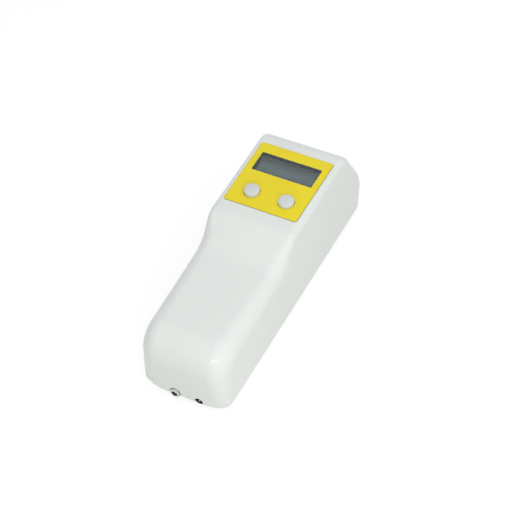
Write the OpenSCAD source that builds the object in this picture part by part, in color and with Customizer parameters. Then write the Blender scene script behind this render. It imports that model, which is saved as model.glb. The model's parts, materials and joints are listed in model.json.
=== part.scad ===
// Handheld microchip scanner for a veterinary clinic.
// A two-part plastic case with a low handle, an S-shaped neck and a raised head.
// The head carries a panel with a display window and two push buttons.
// The reader coil lies in the head, the battery in the handle, two sockets in the end.
// Lengths are in millimetres. Positions along the case count from its socket end.

/* [Case] */
// width across the handle and the head
body_w = 72; // [71:0.5:78]
// length from the socket end to the front of the nose
body_l = 228.5; // [224:0.5:236]
// height of the handle at the socket end
handle_h = 58.5; // [56:0.5:59.5]
// height of the handle at the foot of the neck
waist_h = 60.5; // [59.5:0.5:62]
// height of the flat top of the head
head_h = 76; // [74:0.5:82]
// length of the head, from its shoulder to the front
head_l = 109; // [107.5:0.5:111.5]
// length of the rise of the neck
neck_l = 24.5; // [22.5:0.5:26.5]
// how far the slanted nose reaches back over the top
nose_run = 20; // [17:0.5:22]
// height where the slanted nose meets the upright front
nose_h = 35.5; // [34:0.5:44]
// height where the upright edges of the socket end start
toe_h = 17.5; // [14:0.5:20]
// lean of the socket end
heel_lean = 1.7; // [0:0.1:2]
// how far the swept corners of the socket end reach along the bottom
foot_run = 30; // [26:0.5:33]

/* [Case bends in side view] */
// bend at the foot of the socket end
foot_bend = 9; // [8.5:0.5:10]
// bend from the socket end into the handle
heel_bend = 24; // [18:0.5:27]
// hollow bend at the foot of the neck
waist_bend = 28; // [16:1:32]
// bend from the neck onto the head
shoulder_bend = 14; // [10:1:20]
// bend from the head onto the nose
nose_bend = 11.5; // [8:0.5:14]
// bend halfway down the nose
front_bend = 37.5; // [30:0.5:46]
// bend at the foot of the nose
chin_bend = 9.5; // [9:0.5:15]

/* [Case edge rounding] */
// rounding of the lower side edges
low_edge = 8.5; // [6:0.5:8.5]
// sweep of the two lower corners of the socket end, across the width
foot_edge = 20; // [16:0.5:21]
// rounding of the upright edges of the socket end, near the foot
toe_edge = 11; // [9:0.5:13]
// rounding of the upright edges of the socket end, near the handle
heel_edge = 14.5; // [11:0.5:15]
// rounding of the side edges of the handle
handle_edge = 11.5; // [9:0.5:13]
// rounding of the side edges of the head
head_edge = 5.5; // [4:0.5:7]
// rounding of the side edges at the top of the nose
nose_edge = 4.5; // [4:0.5:6]
// rounding of the side edges halfway down the nose
front_edge = 3; // [3:0.5:6]

/* [Shell] */
// wall thickness of both case halves
wall = 2.5; // [2.2:0.1:2.8]
// height of the joint between the case halves
split_z = 8.5; // [8.5:0.5:9.5]
// height of the locating lip on the lower half
lip_h = 2; // [1.5:0.1:2.5]
// play between the lip and the upper half
lip_play = 0.15; // [0.1:0.05:0.25]
// width of the case posts
post_d = 8; // [7.5:0.5:9]
// distance of the case posts from the sides
post_side = 11.5; // [10.5:0.5:12]
// distance of the posts from either end
post_end = 26; // [25:0.5:27]

/* [Panel] */
// bare width of the head beside the panel
panel_side = 5.25; // [5.25:0.25:6.5]
// length of the panel
panel_l = 64; // [61:0.2:64.4]
// thickness of the panel
panel_t = 0.8; // [0.6:0.1:1]
// height of the panel over the head
panel_rise = 0.3; // [0.1:0.1:0.5]
// play around the panel
panel_play = 0.2; // [0.1:0.05:0.3]
// corner radius of the panel
panel_corner = 2; // [1.5:0.5:4]
// distance of the panel from the shoulder
panel_back = 13; // [12:0.1:13.4]

/* [Display] */
// distance of the window from the panel's side edges
window_side = 5.4; // [5.2:0.05:7.5]
// length of the window opening
window_l = 19.1; // [16:0.1:20]
// distance from the panel's edge to the middle of the window
window_back = 45; // [44:0.1:45.4]
// play round the pane in its opening
window_play = 0.15; // [0.1:0.05:0.25]
// thickness of the clear pane's glued edge
pane_t = 1.6; // [1.2:0.1:2]
// height of the clear pane over the panel
pane_rise = 0.4; // [0.2:0.1:0.6]
// width of the pane's glued edge
pane_edge = 2; // [1.5:0.1:2]
// thickness of the display glass
glass_t = 2.8; // [2.2:0.1:3]
// length of the display glass
glass_l = 27; // [25:0.5:27]

/* [Buttons] */
// width of a button cap
button_d = 12.2; // [10:0.1:13]
// distance of the buttons from the panel's side edges
button_side = 16.25; // [15.25:0.25:17.5]
// how far the pair of buttons sits right of the middle
button_shift = 0.8; // [-1:0.1:1]
// distance from the panel's edge to the buttons
button_back = 14.5; // [13.5:0.1:15]
// height of a cap's edge over the panel
button_rise = 3; // [2:0.1:4]
// height of a cap's dome
button_dome = 1.2; // [0.8:0.1:2]
// rounding of a cap's rim
button_round = 1.4; // [0.8:0.1:1.6]
// play round a cap
button_play = 0.3; // [0.25:0.05:0.5]
// travel of a button
button_travel = 0.5; // [0.3:0.1:0.6]

/* [Boards] */
// thickness of the boards
board_t = 1.6; // [1.2:0.1:2]
// gap between the roof of the head and the main board
board_drop = 8; // [7.6:0.1:9]
// gap between the main board and the side walls
board_side = 3.5; // [3:0.25:4]
// width of the board screws
board_screw_d = 2.5; // [2:0.1:2.6]

/* [Reader coil] */
// play between the coil former and the case walls
coil_play = 2.5; // [1.5:0.5:3.5]
// height of the winding
coil_h = 10; // [8:0.5:12]
// thickness of the former's flanges
former_t = 2; // [1.6:0.1:2.4]
// length of the reader board behind the coil
reader_l = 35; // [33:0.5:37]

/* [Battery] */
// width of a cell
cell_d = 14.5; // [14:0.1:14.5]
// play between the cells
cell_play = 0.2; // [0.1:0.05:0.3]

/* [Sockets] */
// distance of the data jack from the middle
jack_x = -6.3; // [-8:0.1:-6]
// distance of the charging socket from the middle
charge_x = 13.6; // [13:0.1:14.5]
// width of the ring nut of the data jack
nut_d = 8.4; // [8:0.1:8.6]
// bore of the data jack
jack_bore = 3.6; // [3.5:0.05:3.7]
// opening of the charging socket in the case
charge_d = 6.6; // [6.4:0.1:6.8]
// width of the charging pin
pin_d = 2; // [1.9:0.1:2.5]

/* [Shown part] */
// part to draw, or all

/* [Hidden] */
$fn = 64;

eps = 0.5;
far = 200;
bend_step = 10;
edge_steps = 6;
lead_steps = 4;
lead_sides = 8;

case_white = [0.88, 0.9, 0.88];
panel_yellow = [0.92, 0.82, 0.22];
clear_grey = [0.62, 0.68, 0.7];
glass_grey = [0.36, 0.41, 0.42];
black = [0.09, 0.09, 0.1];
board_green = [0.1, 0.34, 0.2];
metal = [0.74, 0.75, 0.77];
copper = [0.72, 0.42, 0.22];
foam_grey = [0.3, 0.31, 0.33];
cell_blue = [0.16, 0.3, 0.52];

// corners of the side view: along, up, bend radius, depth and width of the side edges' rounding
nose_y = body_l - nose_run;
shoulder_y = body_l - head_l;
waist_y = shoulder_y - neck_l;
corners = [
  [0, 0, foot_bend, low_edge, foot_edge],
  [heel_lean * toe_h / handle_h, toe_h, 0, toe_edge, toe_edge],
  [heel_lean, handle_h, heel_bend, heel_edge, heel_edge],
  [waist_y, waist_h, waist_bend, handle_edge, handle_edge],
  [shoulder_y, head_h, shoulder_bend, head_edge, head_edge],
  [nose_y, head_h, nose_bend, nose_edge, nose_edge],
  [body_l, nose_h, front_bend, front_edge, front_edge],
  [body_l, 0, chin_bend, low_edge, low_edge],
  [foot_run, 0, 0, low_edge, low_edge]];
corner_count = len(corners);

function along(c) = [c[0], c[1]];
function unit(v) = v / norm(v);
function right_of(d) = [d[1], -d[0]];
function turned(v, a) = [v[0] * cos(a) - v[1] * sin(a), v[0] * sin(a) + v[1] * cos(a)];

// points of one bend: along, up, inward normal (two numbers), depth and width of the edge rounding
function bend(i) =
  let (before = along(corners[(i + corner_count - 1) % corner_count]))
  let (here = along(corners[i]))
  let (after = along(corners[(i + 1) % corner_count]))
  let (radius = corners[i][2])
  let (d1 = unit(here - before))
  let (d2 = unit(after - here))
  let (angle = acos(min(d1 * d2, 1)))
  let (hollow = d1[0] * d2[1] - d1[1] * d2[0] > 0 ? 1 : -1)
  let (start = here - d1 * radius * tan(angle / 2))
  let (inward = right_of(d1))
  let (middle = start - inward * radius * hollow)
  let (steps = radius > 0 ? ceil(angle / bend_step) : 0)
  [for (k = [0:steps])
    let (n = turned(inward, hollow * angle * k / max(steps, 1)))
    let (p = middle + n * radius * hollow)
    [p[0], p[1], n[0], n[1], corners[i][3], corners[i][4]]];

side_view = [for (i = [0:corner_count - 1]) each bend(i)];
side_count = len(side_view);
ring = 2 * edge_steps + 2;

// one point of the case surface, set in by a distance; step runs over the width
function skin(p, step, inset) =
  let (right = step <= edge_steps)
  let (a = 90 * (right ? step : ring - 1 - step) / edge_steps)
  let (depth = inset + (p[4] - inset) * (1 - sin(a)))
  let (x = body_w / 2 - inset - (p[5] - inset) * (1 - cos(a)))
  [right ? x : -x, p[0] + p[2] * depth, p[1] + p[3] * depth];

// fastening and stacking heights
roof = head_h - wall;
recess = panel_t - panel_rise;
panel_z = head_h - recess;
panel_top = head_h + panel_rise;
panel_w = body_w - 2 * panel_side;
panel_y = shoulder_y + panel_back;
panel_mid = panel_y + panel_l / 2;
window_y = panel_y + window_back;
window_w = panel_w - 2 * window_side;
window_corner = 1;
pane_w = window_w + 2 * pane_edge;
pane_l = window_l + 2 * pane_edge;
pane_z = roof - pane_t;
pane_top = panel_top + pane_rise;
frame_t = 1.2;
fit_play = 0.15;
rib_t = 1.8;
rib_h = 6;

board_z = roof - board_drop;
board_back = 6.5;
board_front = 5;
board_y = shoulder_y + board_back;
board_end = nose_y - board_front;
board_w = body_w - 2 * (wall + board_side);
board_corner = 2;
boss_d = 6;
boss_edge = 4;
boss_x = board_w / 2 - boss_edge;
boss_y1 = board_y + boss_edge;
boss_y2 = board_end - boss_edge;
glass_play = 0.3;
glass_w = pane_w - 2 * glass_play;
glass_z = pane_z - glass_play - glass_t;
strip_w = 2.5;
strip_end = 3;
holder_t = 1.8;
ledge_w = 1.6;
holder_w = glass_w + 2 * (holder_t + fit_play);
holder_l = glass_l + 2 * (holder_t + fit_play);
holder_drop = 0.4;
holder_top = glass_z + glass_t - holder_drop;

button_y = panel_y + button_back;
button_left = button_shift - panel_w / 2 + button_side;
button_right = button_shift + panel_w / 2 - button_side;
button_top = panel_top + button_rise;
button_hole_d = button_d + 2 * button_play;
rim_cut = 0.02;
flange_w = 1.2;
flange_d = button_d + 2 * flange_w;
flange_t = 1;
flange_top = roof - button_play;
flange_z = flange_top - flange_t;
stem_d = 5;
stem_h = 1.7;
stem_z = flange_z - stem_h;
switch_w = 6.2;
switch_h = 3.5;
switch_top = board_z + switch_h;
plunger_d = 3.5;
plunger_play = 0.25;
plunger_sink = 0.6;
plunger_z = switch_top - plunger_sink;
well_z = plunger_z - button_travel - button_play;

chip_back = 6;
chip_w = 14;
chip_h = 1.8;
chip_mark_d = 1.2;
chip_mark = 5;
chip_mark_h = 0.3;
driver_x = 17;
driver_w = 8;
driver_l = 10;
driver_h = 1.6;
can_front = 6.5;
can_w = 11;
can_l = 4.6;
can_h = 3.2;
can_corner = 2.2;
sounder_x = -14;
sounder_front = 10;
sounder_d = 12;
sounder_h = 8;
sounder_hole_d = 2.4;
sounder_hole_h = 6;

case_screw_d = 3;
case_head_d = 5.6;
case_head_h = 2.2;
case_seat_z = 3.4;
case_bite = 14;
thread_play = 0.05;
hole_play = 0.25;
cross_w = 0.8;
cross_share = 0.6;
cross_depth = 0.55;
sink = 0.2;
post_x = body_w / 2 - post_side;
post_nose = 6;
post_y1 = post_end;
post_y2 = body_l - post_end + post_nose;

pad_y = 5;
spot_y = 1.2;
socket_z = split_z;
socket_h = 9;
jack_w = 11;
jack_l = 14;
jack_end = pad_y + jack_l;
bush_d = 6;
bush_bore = 4.9;
nut_h = 2;
nut_y = spot_y - nut_h;
nut_slot_w = 1;
nut_slot_h = 0.5;
spot_play = 0.5;
bush_proud = 0.3;
bush_y = nut_y - bush_proud;
sleeve_sink = 1.5;
sleeve_y = bush_y + sleeve_sink;
jack_floor = 3;
charge_w = 9;
charge_l = 13;
charge_end = pad_y + charge_l;
charge_step = 0.4;
charge_lip_y = 0.9;
charge_bore = charge_d - 2 * charge_step;
charge_floor = 2.5;
pin_floor = 1;
pin_y = 0.6;
lug_l = 4;
lug_w = 1.6;
lug_t = 0.4;
jack_lug_pitch = 3;
charge_lug_x = 1.2;
shelf_t = 2.5;
shelf_z = socket_z + socket_h / 2 + fit_play;
sockets_x = (jack_x + charge_x) / 2;
sockets_side = 7.5;
sockets_w = charge_x - jack_x + 2 * sockets_side;
cradle_gap = 1;

former_r = body_w / 2 - wall - coil_play;
winding_t = 6;
winding_sink = 2;
core_r = former_r - winding_sink - winding_t;
core_t = 2.5;
core_hole_d = 16;
coil_front = 8;
coil_y = nose_y - former_r - coil_front;
former_z = split_z;
coil_z = former_z + former_t;
former_top = coil_z + coil_h + former_t;
former_hole_r = 14;
coil_post_d = 6.5;

reader_z = split_z;
reader_front = 3;
reader_end = coil_y - former_r - reader_front;
reader_y = reader_end - reader_l;
reader_mid = (reader_y + reader_end) / 2;
reader_w = 48;
reader_top = reader_z + board_t;
reader_post_d = 6;
reader_edge = 4;
reader_post_x = reader_w / 2 - reader_edge;
reader_post_y1 = reader_y + reader_edge;
reader_post_y2 = reader_end - reader_edge;
amplifier_x = -12;
amplifier_w = 10;
amplifier_l = 7;
amplifier_h = 1.8;
regulator_x = 13;
regulator_w = 6;
regulator_h = 2.4;
header_h = 4.5;
reader_header_z = reader_top + header_h;
coil_header_y = reader_end - 2 * reader_edge;
link_header_y = reader_y + 1.5 * reader_edge;

// the battery fills the handle between the sockets and the reader board
cell_pitch = cell_d + cell_play;
cell_x = [-1.5 * cell_pitch, -0.5 * cell_pitch, 0.5 * cell_pitch, 1.5 * cell_pitch];
cell_y = 37;
clamp_post_d = 7;
clamp_gap = 5.5;
reader_back = 8;
clamp_y2 = reader_y - reader_back;
cell_end = clamp_y2 - clamp_gap;
cell_l = cell_end - cell_y;
cell_lift = 1.2;
cradle_share = 0.2;
cradle_y = [cell_y + cell_l * cradle_share, cell_end - cell_l * cradle_share];
cell_z = wall + cell_lift + cell_d / 2;
cell_top = cell_z + cell_d / 2;
nub_h = 0.7;
nub_d = 5.5;
link_t = 0.4;
link_h = 7;
clamp_t = 2.5;
pad_t = 1.5;
pad_l = 16;
pad_edge = 1;
clamp_z = cell_top + pad_t;
clamp_w = 12;
clamp_l = pad_l + 2 * pad_edge;
clamp_bite = 8;
clamp_y1 = cell_y - clamp_gap;
clamp_mid = (clamp_y1 + clamp_y2) / 2;

board_under = board_z - board_t;
plug_h = 6;
plug_z = board_under - plug_h;
plug_back = 7;
plug_y = board_y + plug_back;
plug_pitch = board_w / 5;
plug_x = [-1.5 * plug_pitch, -0.5 * plug_pitch, 0.5 * plug_pitch, 1.5 * plug_pitch];
plug_w = 8;
plug_l = 5.5;
small_screw_bite = 5.5;
small_head_d = 4.5;
small_head_h = 1.6;
lead_d = 2;
lead_side = 2;
lead_out = 3;
lead_bend = 6;
lead_drop = 9;

// places the part: the origin lies under the middle of its length, bush included
module placed() {
  translate([0, -(body_l + bush_y) / 2, 0]) children();
}

// the whole form of the case, set in by a distance
module case_form(inset) {
  points = [
    each [for (p = side_view) each [for (s = [0:ring - 1]) skin(p, s, inset)]],
    [body_w / 2 - inset, shoulder_y, waist_h / 3],
    [-body_w / 2 + inset, shoulder_y, waist_h / 3]];
  hub = side_count * ring;
  strips = [for (i = [0:side_count - 1])
    let (a = i * ring)
    let (b = (i + 1) % side_count * ring)
    each [for (s = [0:ring - 2])
      each [[a + s, a + s + 1, b + s + 1], [a + s, b + s + 1, b + s]]]];
  caps = [for (i = [0:side_count - 1])
    let (a = i * ring)
    let (b = (i + 1) % side_count * ring)
    each [[hub, a, b], [hub + 1, b + ring - 1, a + ring - 1]]];
  polyhedron(points, concat(strips, caps));
}

// everything between two heights
module slab(low, high) {
  translate([-far, -far, low]) cube([2 * far, 3 * far, high - low]);
}

module rounded_plate(w, l, r, h) {
  linear_extrude(h) {
    square([w - 2 * r, l], center = true);
    square([w, l - 2 * r], center = true);
    for (x = [-1, 1]) {
      for (y = [-1, 1]) {
        translate([x * (w / 2 - r), y * (l / 2 - r)]) circle(r);
      }
    }
  }
}

// plate of the window's outline, larger by a play on each side
module window_plate(play, h) {
  rounded_plate(window_w + 2 * play, window_l + 2 * play, window_corner + play, h);
}

// block given by its middle in plan, its size and its lower and upper faces
module block(x, y, w, l, low, high) {
  translate([x - w / 2, y - l / 2, low]) cube([w, l, high - low]);
}

module post(x, y, d, low, high) {
  translate([x, y, low]) cylinder(d = d, h = high - low);
}

// round bar along the case
module bar(x, z, d, start, end) {
  translate([x, start, z]) rotate([-90, 0, 0]) cylinder(d = d, h = end - start);
}

module at_case_posts() {
  for (x = [-post_x, post_x]) {
    for (y = [post_y1, post_y2]) {
      translate([x, y, 0]) children();
    }
  }
}

module at_board_bosses() {
  for (x = [-boss_x, boss_x]) {
    for (y = [boss_y1, boss_y2]) {
      translate([x, y, 0]) children();
    }
  }
}

module at_reader_posts() {
  for (x = [-reader_post_x, reader_post_x]) {
    for (y = [reader_post_y1, reader_post_y2]) {
      translate([x, y, 0]) children();
    }
  }
}

module at_coil_posts() {
  for (a = [90, 210, 330]) {
    translate([former_hole_r * cos(a), coil_y + former_hole_r * sin(a), 0]) children();
  }
}

module at_clamp_posts() {
  for (y = [clamp_y1, clamp_y2]) {
    translate([0, y, 0]) children();
  }
}

// pan-head screw pointing up, its head's seat at height 0
module screw_up(d, length, head_d, head_h) {
  difference() {
    union() {
      translate([0, 0, -head_h]) cylinder(d = head_d, h = head_h);
      translate([0, 0, -sink]) cylinder(d = d, h = length + sink);
    }
    for (a = [0, 90]) {
      rotate([0, 0, a])
        block(0, 0, head_d * cross_share, cross_w, -head_h - eps, -head_h * (1 - cross_depth));
    }
  }
}

module screw_down(d, length, head_d, head_h) {
  mirror([0, 0, 1]) screw_up(d, length, head_d, head_h);
}

// posts, ribs and seats moulded inside the upper half
module upper_insides() {
  at_case_posts() post(0, 0, post_d, split_z, head_h);
  for (s = [-1, 1]) {
    for (y = [post_y1, post_y2]) {
      block(s * (post_x + body_w / 2) / 2, y, body_w / 2 - post_x, rib_t, split_z + lip_h + eps, head_h);
    }
  }
  at_board_bosses() post(0, 0, boss_d, board_z, head_h - recess - eps);
  difference() {
    block(0, window_y, pane_w + 2 * frame_t, pane_l + 2 * frame_t, pane_z + pane_t / 4, roof + eps);
    block(0, window_y, pane_w + 2 * fit_play, pane_l + 2 * fit_play, 0, head_h);
  }
  for (y = cradle_y) {
    difference() {
      block(0, y, body_w, rib_t, handle_h - handle_edge - wall, head_h);
      block(0, y, body_w - 2 * (wall + rib_h), 2 * rib_t, 0, handle_h - wall - rib_h / 2);
    }
  }
  block(sockets_x, pad_y / 2, sockets_w, pad_y, split_z, shelf_z + shelf_t);
  block(sockets_x, charge_end / 2, sockets_w, charge_end, shelf_z, shelf_z + shelf_t);
}

// openings of both halves for the two sockets
module socket_holes() {
  bar(jack_x, socket_z, bush_d + 2 * fit_play, -far, pad_y + eps);
  bar(jack_x, socket_z, nut_d + 2 * spot_play, -far, spot_y);
  bar(charge_x, socket_z, charge_d, -far, pad_y + eps);
}

// upper half of the case, with the recess, the window and the button holes in the head
module upper_shell() {
  color(case_white) placed() difference() {
    union() {
      difference() {
        intersection() {
          case_form(0);
          slab(split_z, far);
        }
        case_form(wall);
        intersection() {
          case_form(wall / 2);
          slab(split_z - eps, split_z + lip_h + lip_play);
        }
      }
      intersection() {
        case_form(wall / 4);
        upper_insides();
      }
    }
    translate([0, panel_mid, panel_z])
      rounded_plate(panel_w + 2 * panel_play, panel_l + 2 * panel_play, panel_corner + panel_play, far);
    translate([0, window_y, roof - eps]) window_plate(window_play, far);
    for (x = [button_left, button_right]) {
      post(x, button_y, button_hole_d, roof - eps, panel_top);
    }
    at_case_posts() post(0, 0, case_screw_d + 2 * thread_play, 0, split_z + case_bite + eps);
    at_board_bosses() post(0, 0, board_screw_d + 2 * thread_play, 0, board_z + small_screw_bite);
    socket_holes();
  }
}

// bed and side walls for the body of one socket
module socket_cradle(x, w, l, low) {
  block(x, pad_y + l / 2, w, l - 2 * cradle_gap, low, socket_z - socket_h / 2);
  for (s = [-1, 1]) {
    block(x + s * (w / 2 + fit_play + rib_t / 2), pad_y + l / 2 - cradle_gap, rib_t,
      l - 3 * cradle_gap, low, split_z);
  }
}

// posts, cradles and seats moulded inside the lower half
module lower_insides() {
  low = wall / 2;
  at_case_posts() post(0, 0, post_d + 1, low, split_z);
  at_coil_posts() post(0, 0, coil_post_d, low, former_z);
  at_reader_posts() post(0, 0, reader_post_d, low, reader_z);
  at_clamp_posts() post(0, 0, clamp_post_d, low, clamp_z);
  for (y = cradle_y) {
    difference() {
      block(0, y, 4 * cell_pitch + rib_t, rib_t, low, cell_z - cradle_gap);
      for (x = cell_x) {
        bar(x, cell_z, cell_d + 2 * fit_play, y - rib_t, y + rib_t);
      }
    }
  }
  block(sockets_x, pad_y / 2, sockets_w, pad_y, low, split_z);
  socket_cradle(jack_x, jack_w, jack_l, low);
  socket_cradle(charge_x, charge_w, charge_l, low);
  for (s = [-1, 1]) {
    block(charge_x + s * (charge_w - rib_t) / 2, charge_end + fit_play + rib_t / 2, rib_t, rib_t,
      low, split_z);
  }
}

// lower half of the case: a tray with the locating lip
module lower_shell() {
  color(case_white) placed() difference() {
    union() {
      difference() {
        union() {
          intersection() {
            case_form(0);
            slab(-far, split_z);
          }
          intersection() {
            case_form(wall / 2 + lip_play);
            slab(split_z - eps, split_z + lip_h);
          }
        }
        case_form(wall);
        block(sockets_x, 0, sockets_w + 2, 2 * pad_y, split_z, far);
      }
      intersection() {
        case_form(wall / 2);
        lower_insides();
      }
    }
    at_case_posts() post(0, 0, case_head_d + 2 * hole_play, -eps, case_seat_z);
    at_case_posts() post(0, 0, case_screw_d + 2 * hole_play, -eps, far);
    at_coil_posts() post(0, 0, board_screw_d + 2 * thread_play, former_z - small_screw_bite, far);
    at_reader_posts() post(0, 0, board_screw_d + 2 * thread_play, reader_z - small_screw_bite, far);
    at_clamp_posts() post(0, 0, board_screw_d + 2 * thread_play, clamp_z - clamp_bite - eps, far);
    socket_holes();
  }
}

// thin yellow panel in the recess of the head, open round the window and the buttons
module panel_overlay() {
  color(panel_yellow) placed() difference() {
    translate([0, panel_mid, panel_z]) rounded_plate(panel_w, panel_l, panel_corner, panel_t);
    translate([0, window_y, panel_z - eps]) window_plate(window_play, far);
    for (x = [button_left, button_right]) {
      post(x, button_y, button_hole_d, panel_z - eps, panel_top + eps);
    }
  }
}

// clear pane glued under the window opening, with a raised middle that fills it
module display_window() {
  color(clear_grey) placed() {
    block(0, window_y, pane_w, pane_l, pane_z, roof);
    translate([0, window_y, roof - sink]) window_plate(0, pane_top - roof + sink);
  }
}

module lcd_glass() {
  color(glass_grey) placed() block(0, window_y, glass_w, glass_l, glass_z, glass_z + glass_t);
}

// frame on the main board that holds the display glass
module lcd_holder() {
  color(black) placed() {
    difference() {
      block(0, window_y, holder_w, holder_l, board_z, holder_top);
      block(0, window_y, glass_w + 2 * fit_play, glass_l + 2 * fit_play, 0, head_h);
    }
    for (s = [-1, 1]) {
      block(s * (glass_w - ledge_w) / 2, window_y, ledge_w + 1, glass_l + 1, board_z, glass_z);
    }
  }
}

// elastomer strips that join the display glass to the main board
module contact_strips() {
  color(foam_grey) placed() {
    for (s = [-1, 1]) {
      block(0, window_y + s * ((glass_l - strip_w) / 2 - glass_play), glass_w - 2 * strip_end, strip_w,
        board_z, glass_z);
    }
  }
}

// round bar with a rounded rim that runs into a dome
module rounded_bar(dome_r, dome_z) {
  rim_x = button_d / 2 - button_round;
  rim_z = dome_z + sqrt((dome_r - button_round + rim_cut) ^ 2 - rim_x ^ 2);
  rotate_extrude() {
    square([button_d / 2, rim_z]);
    square([rim_x * dome_r / (dome_r - button_round), far]);
    translate([rim_x, rim_z]) circle(button_round);
  }
}

// domed cap with a retaining flange and a stem over the switch
module button_cap(x) {
  dome_r = ((button_d / 2) ^ 2 + button_dome ^ 2) / (2 * button_dome);
  dome_z = button_top + button_dome - dome_r;
  color(case_white) placed() translate([x, button_y, 0]) {
    intersection() {
      rounded_bar(dome_r, dome_z);
      translate([0, 0, dome_z]) sphere(dome_r, $fn = 96);
      slab(flange_top - sink, far);
    }
    post(0, 0, flange_d, flange_z, flange_top);
    post(0, 0, stem_d, stem_z, flange_z + sink);
  }
}

module left_button() {
  button_cap(button_left);
}

module right_button() {
  button_cap(button_right);
}

module switch_plunger(x) {
  color(black) placed() post(x, button_y, plunger_d, plunger_z, stem_z);
}

module left_plunger() {
  switch_plunger(button_left);
}

module right_plunger() {
  switch_plunger(button_right);
}

module switch_body(x) {
  color(metal) placed() difference() {
    block(x, button_y, switch_w, switch_w, board_z, switch_top);
    post(x, button_y, plunger_d + 2 * plunger_play, well_z, head_h);
  }
}

module left_switch() {
  switch_body(button_left);
}

module right_switch() {
  switch_body(button_right);
}

// main board under the roof of the head
module main_board() {
  color(board_green) placed() difference() {
    translate([0, (board_y + board_end) / 2, board_under])
      rounded_plate(board_w, board_end - board_y, board_corner, board_t);
    at_board_bosses() post(0, 0, board_screw_d + 2 * hole_play, 0, head_h);
  }
}

module processor_chip() {
  color(black) placed() difference() {
    block(0, window_y - chip_back, chip_w, chip_w, board_under - chip_h, board_under);
    post(-chip_mark, window_y - chip_back - chip_mark, chip_mark_d, 0, board_under - chip_h + chip_mark_h);
  }
}

module driver_chips() {
  color(black) placed() {
    for (x = [-driver_x, driver_x]) {
      block(x, window_y - chip_back, driver_w, driver_l, board_under - driver_h, board_under);
    }
  }
}

module crystal_can() {
  color(metal) placed() translate([0, window_y + can_front, board_under - can_h])
    rounded_plate(can_w, can_l, can_corner, can_h);
}

module sounder() {
  low = board_under - sounder_h;
  color(black) placed() translate([sounder_x, window_y + sounder_front, 0]) difference() {
    post(0, 0, sounder_d, low, board_under);
    post(0, 0, sounder_hole_d, 0, low + sounder_hole_h);
  }
}

// plug headers under the main board
module board_headers() {
  color(case_white) placed() {
    for (x = plug_x) {
      block(x, plug_y, plug_w, plug_l, plug_z, board_under);
    }
  }
}

module board_screws() {
  color(metal) placed() at_board_bosses() translate([0, 0, board_under])
    screw_up(board_screw_d, board_t + small_screw_bite - eps, small_head_d, small_head_h);
}

module case_screws() {
  color(metal) placed() at_case_posts() translate([0, 0, case_seat_z])
    screw_up(case_screw_d, split_z - case_seat_z + case_bite, case_head_d, case_head_h);
}

// flat spool that carries the reader coil
module coil_former() {
  color(black) placed() difference() {
    translate([0, coil_y, 0]) union() {
      post(0, 0, 2 * former_r, former_z, coil_z);
      post(0, 0, 2 * core_r, former_z, former_top);
      post(0, 0, 2 * former_r, former_top - former_t, former_top);
    }
    post(0, coil_y, 2 * (core_r - core_t), coil_z, far);
    post(0, coil_y, core_hole_d, 0, far);
    at_coil_posts() post(0, 0, board_screw_d + 2 * hole_play, 0, far);
  }
}

module reader_coil() {
  color(copper) placed() translate([0, coil_y, coil_z]) difference() {
    cylinder(r = core_r + winding_t, h = coil_h);
    translate([0, 0, -eps]) cylinder(r = core_r + thread_play, h = coil_h + 2 * eps);
  }
}

module coil_screws() {
  color(metal) placed() at_coil_posts() translate([0, 0, coil_z])
    screw_down(board_screw_d, former_t + small_screw_bite - eps, small_head_d, small_head_h);
}

// board of the reader circuit, in the neck
module reader_board() {
  color(board_green) placed() difference() {
    block(0, reader_mid, reader_w, reader_l, reader_z, reader_top);
    at_reader_posts() post(0, 0, board_screw_d + 2 * hole_play, 0, far);
  }
}

module reader_chips() {
  color(black) placed() {
    block(amplifier_x, reader_mid, amplifier_w, amplifier_l, reader_top, reader_top + amplifier_h);
    block(regulator_x, reader_mid, regulator_w, regulator_w, reader_top, reader_top + regulator_h);
  }
}

module reader_headers() {
  color(case_white) placed() {
    block(0, coil_header_y, plug_w, plug_l, reader_top, reader_header_z);
    block(0, link_header_y, plug_w, plug_l, reader_top, reader_header_z);
  }
}

module reader_screws() {
  color(metal) placed() at_reader_posts() translate([0, 0, reader_top])
    screw_down(board_screw_d, board_t + small_screw_bite - eps, small_head_d, small_head_h);
}

// four cells side by side, laid head to tail
module battery_cells() {
  color(cell_blue) placed() {
    for (i = [0:3]) {
      first = i % 2 == 0;
      bar(cell_x[i], cell_z, cell_d, cell_y + (first ? nub_h : 0), cell_end - (first ? 0 : nub_h));
      bar(cell_x[i], cell_z, nub_d, first ? cell_y : cell_end - nub_h - eps,
        first ? cell_y + nub_h + eps : cell_end);
    }
  }
}

// welded tabs that join the cells in series
module cell_links() {
  color(metal) placed() {
    for (s = [-1, 1]) {
      block(s * cell_pitch, cell_y - link_t / 2, cell_pitch + link_h, link_t,
        cell_z - link_h / 2, cell_z + link_h / 2);
      block(s * 1.5 * cell_pitch, cell_end + link_t / 2, link_h, link_t,
        cell_z - link_h / 2, cell_z + link_h / 2);
    }
    block(0, cell_end + link_t / 2, cell_pitch + link_h, link_t,
      cell_z - link_h / 2, cell_z + link_h / 2);
  }
}

// foam between the cells and the clamp
module battery_pad() {
  color(foam_grey) placed() block(0, clamp_mid, 4 * (cell_pitch - pad_edge), pad_l, cell_top, clamp_z);
}

module battery_clamp() {
  color(black) placed() difference() {
    union() {
      block(0, clamp_mid, clamp_w, clamp_y2 - clamp_y1 + clamp_post_d, clamp_z, clamp_z + clamp_t);
      block(0, clamp_mid, 4 * cell_pitch - 2 * pad_edge, clamp_l, clamp_z, clamp_z + clamp_t);
    }
    at_clamp_posts() post(0, 0, board_screw_d + 2 * hole_play, 0, far);
  }
}

module clamp_screws() {
  color(metal) placed() at_clamp_posts() translate([0, 0, clamp_z + clamp_t])
    screw_down(board_screw_d, clamp_t + clamp_bite, small_head_d, small_head_h);
}

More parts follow.
